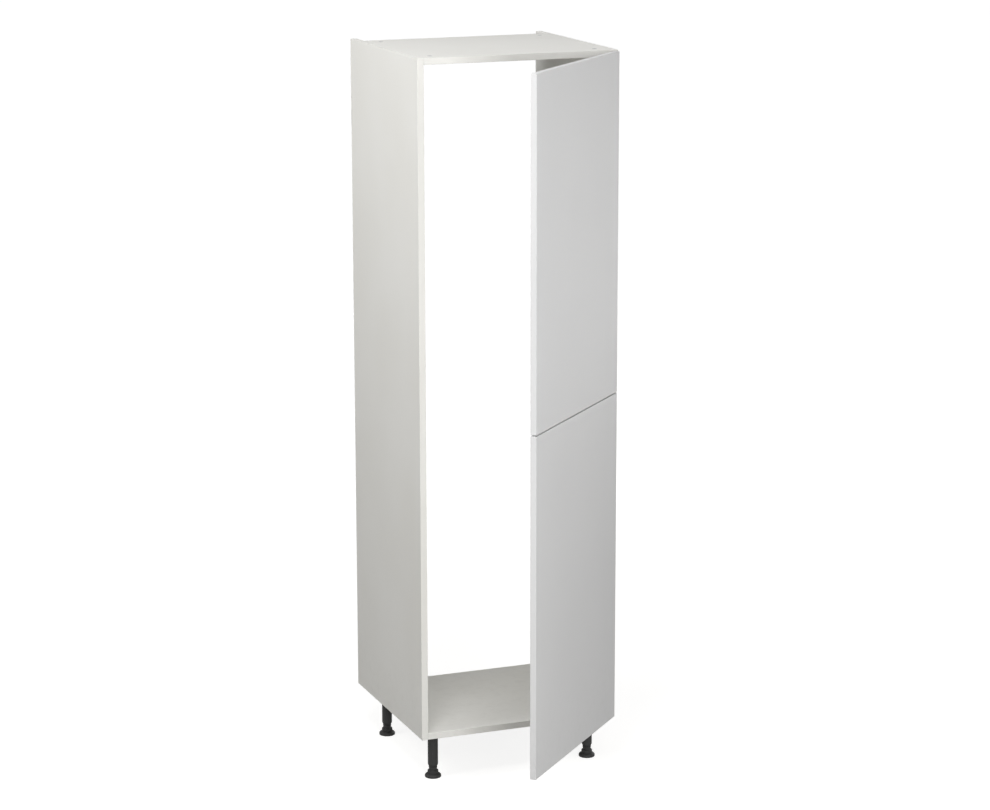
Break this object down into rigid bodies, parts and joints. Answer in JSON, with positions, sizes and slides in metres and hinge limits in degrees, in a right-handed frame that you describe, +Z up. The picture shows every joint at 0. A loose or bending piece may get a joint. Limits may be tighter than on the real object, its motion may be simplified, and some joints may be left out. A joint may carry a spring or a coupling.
{
  "type": "fridge housing unit",
  "caption": "Tall open-backed cabinet for a built-in fridge, on adjustable legs, with an upper and a lower slab door on concealed hinges, standing half open.",
  "frame": {"origin": "on the floor, under the middle of the box round the unit with its doors as stored, half open", "axes": "+Z up; the open front with its doors faces -Y; +X towards the side that the doors hang on"},
  "size_m": [0.6, 1.0052, 2.1],
  "materials": {
    "carcass_board": "white melamine-faced board with matching edge band",
    "door_board": "white satin laminated board with softly rounded edges",
    "leg_plastic": "black moulded plastic, lightly satin",
    "hinge_steel": "nickel-plated pressed steel",
    "cast_zinc": "satin cast zinc alloy"
  },
  "bodies": {
    "carcass": {"left_side_panel": "carcass_board", "right_side_panel": "carcass_board", "top_panel": "carcass_board", "base_panel": "carcass_board", "top_cam_left_front": "cast_zinc", "top_cam_left_rear": "cast_zinc", "top_cam_right_front": "cast_zinc", "top_cam_right_rear": "cast_zinc", "base_cam_left_front": "cast_zinc", "base_cam_left_rear": "cast_zinc", "base_cam_right_front": "cast_zinc", "base_cam_right_rear": "cast_zinc", "front_left_leg_socket": "leg_plastic", "front_left_leg_sleeve": "leg_plastic", "front_right_leg_socket": "leg_plastic", "front_right_leg_sleeve": "leg_plastic", "rear_left_leg_socket": "leg_plastic", "rear_left_leg_sleeve": "leg_plastic", "rear_right_leg_socket": "leg_plastic", "rear_right_leg_sleeve": "leg_plastic", "upper_hinge_1_plate": "cast_zinc", "upper_hinge_1_arm": "hinge_steel", "upper_hinge_2_plate": "cast_zinc", "upper_hinge_2_arm": "hinge_steel", "upper_hinge_3_plate": "cast_zinc", "upper_hinge_3_arm": "hinge_steel", "lower_hinge_1_plate": "cast_zinc", "lower_hinge_1_arm": "hinge_steel", "lower_hinge_2_plate": "cast_zinc", "lower_hinge_2_arm": "hinge_steel", "lower_hinge_3_plate": "cast_zinc", "lower_hinge_3_arm": "hinge_steel"},
    "upper_long_links": {"upper_hinge_1_long_link": "hinge_steel", "upper_hinge_2_long_link": "hinge_steel", "upper_hinge_3_long_link": "hinge_steel"},
    "upper_short_links": {"upper_hinge_1_short_link": "hinge_steel", "upper_hinge_2_short_link": "hinge_steel", "upper_hinge_3_short_link": "hinge_steel"},
    "upper_door_leaf": {"upper_door": "door_board", "upper_hinge_1_cup": "hinge_steel", "upper_hinge_2_cup": "hinge_steel", "upper_hinge_3_cup": "hinge_steel"},
    "lower_long_links": {"lower_hinge_1_long_link": "hinge_steel", "lower_hinge_2_long_link": "hinge_steel", "lower_hinge_3_long_link": "hinge_steel"},
    "lower_short_links": {"lower_hinge_1_short_link": "hinge_steel", "lower_hinge_2_short_link": "hinge_steel", "lower_hinge_3_short_link": "hinge_steel"},
    "lower_door_leaf": {"lower_door": "door_board", "lower_hinge_1_cup": "hinge_steel", "lower_hinge_2_cup": "hinge_steel", "lower_hinge_3_cup": "hinge_steel"},
    "front_left_foot": {"front_left_leg_foot": "leg_plastic"},
    "front_right_foot": {"front_right_leg_foot": "leg_plastic"},
    "rear_left_foot": {"rear_left_leg_foot": "leg_plastic"},
    "rear_right_foot": {"rear_right_leg_foot": "leg_plastic"}
  },
  "joints": [
    {"name": "upper_long_link_turn", "type": "hinge", "parent": "carcass", "child": "upper_long_links", "pos_m": [0.269, -0.05381, 1.60875], "axis": [0, 0, 1], "range_deg": [-18.6, 18.6]},
    {"name": "upper_door_swing", "type": "hinge", "parent": "upper_long_links", "child": "upper_door_leaf", "pos_m": [0.28095, -0.07827, 1.60875], "axis": [0, 0, 1], "range_deg": [-63.52, 63.52]},
    {"name": "upper_short_link_turn", "type": "hinge", "parent": "carcass", "child": "upper_short_links", "pos_m": [0.2636, -0.07131, 1.60875], "axis": [0, 0, 1], "range_deg": [-22.6, 22.6]},
    {"name": "lower_long_link_turn", "type": "hinge", "parent": "carcass", "child": "lower_long_links", "pos_m": [0.269, -0.05381, 0.62925], "axis": [0, 0, 1], "range_deg": [-18.6, 18.6]},
    {"name": "lower_door_swing", "type": "hinge", "parent": "lower_long_links", "child": "lower_door_leaf", "pos_m": [0.28095, -0.07827, 0.62925], "axis": [0, 0, 1], "range_deg": [-63.52, 63.52]},
    {"name": "lower_short_link_turn", "type": "hinge", "parent": "carcass", "child": "lower_short_links", "pos_m": [0.2636, -0.07131, 0.62925], "axis": [0, 0, 1], "range_deg": [-22.6, 22.6]},
    {"name": "front_left_leg_height", "type": "slide", "parent": "carcass", "child": "front_left_foot", "axis": [0, 0, 1], "range_m": [-0.03, 0.014]},
    {"name": "front_right_leg_height", "type": "slide", "parent": "carcass", "child": "front_right_foot", "axis": [0, 0, 1], "range_m": [-0.03, 0.014]},
    {"name": "rear_left_leg_height", "type": "slide", "parent": "carcass", "child": "rear_left_foot", "axis": [0, 0, 1], "range_m": [-0.03, 0.014]},
    {"name": "rear_right_leg_height", "type": "slide", "parent": "carcass", "child": "rear_right_foot", "axis": [0, 0, 1], "range_m": [-0.03, 0.014]}
  ],
  "couplings": [
    {"joint": "upper_long_link_turn", "follows": "upper_door_swing", "ratio": -0.29158},
    {"joint": "upper_short_link_turn", "follows": "upper_door_swing", "ratio": -0.35421},
    {"joint": "lower_long_link_turn", "follows": "lower_door_swing", "ratio": -0.29158},
    {"joint": "lower_short_link_turn", "follows": "lower_door_swing", "ratio": -0.35421}
  ]
}
